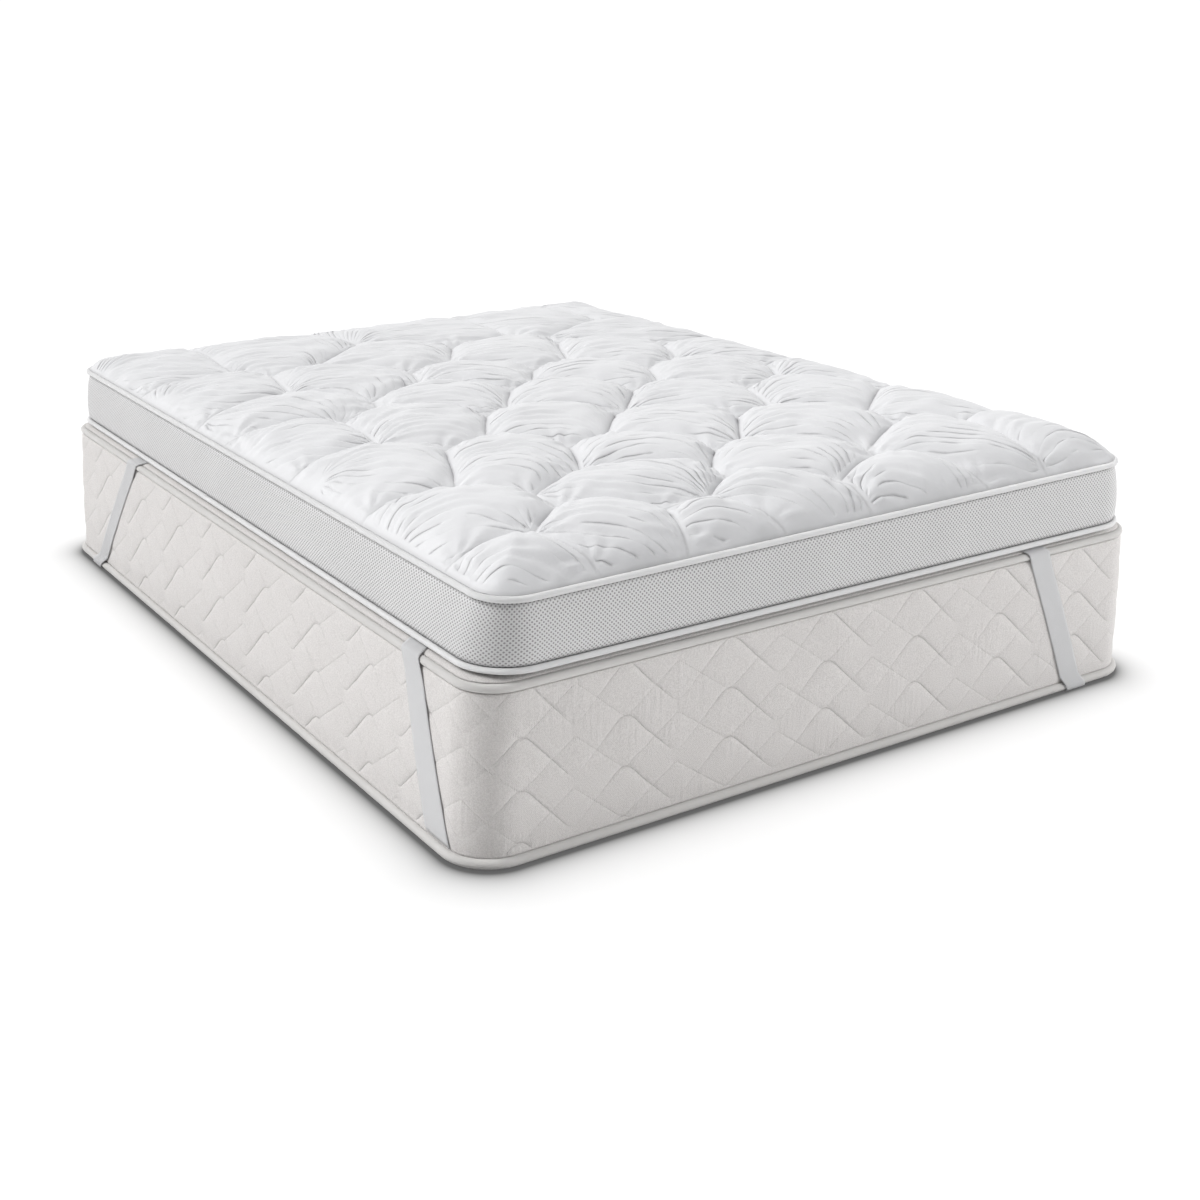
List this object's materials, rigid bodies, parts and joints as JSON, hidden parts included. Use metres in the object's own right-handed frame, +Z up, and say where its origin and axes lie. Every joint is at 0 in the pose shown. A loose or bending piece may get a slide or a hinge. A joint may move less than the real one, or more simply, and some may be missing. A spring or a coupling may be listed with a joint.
{
  "type": "mattress topper on a mattress",
  "caption": "Thick quilted mattress topper with crowned white puffs, a mesh side band, piping and elastic corner straps, fitted over a plain tape-edged mattress",
  "frame": {"origin": "On the floor, under the middle of the mattress", "axes": "+X is across the bed to the right seen from the foot, +Y is along the bed from the foot to the head, +Z is up"},
  "size_m": [1.6202, 2.0202, 0.5322],
  "materials": {
    "mattress_knit": "stippled warm off-white knit",
    "mattress_tape": "off-white woven tape, rolled",
    "quilted_panel": "smooth white microfibre, quilted and gathered",
    "side_mesh": "light grey spacer mesh",
    "white_piping": "white covered cord",
    "elastic": "cool light grey elastic webbing"
  },
  "bodies": {
    "root": {"mattress_body": "mattress_knit", "mattress_tape_bottom": "mattress_tape", "mattress_tape_top": "mattress_tape", "topper_pad": "quilted_panel", "topper_band": "side_mesh", "topper_piping_bottom": "white_piping", "topper_piping_top": "white_piping", "strap_foot_left": "elastic", "strap_foot_right": "elastic", "strap_head_left": "elastic", "strap_head_right": "elastic"}
  },
  "joints": []
}
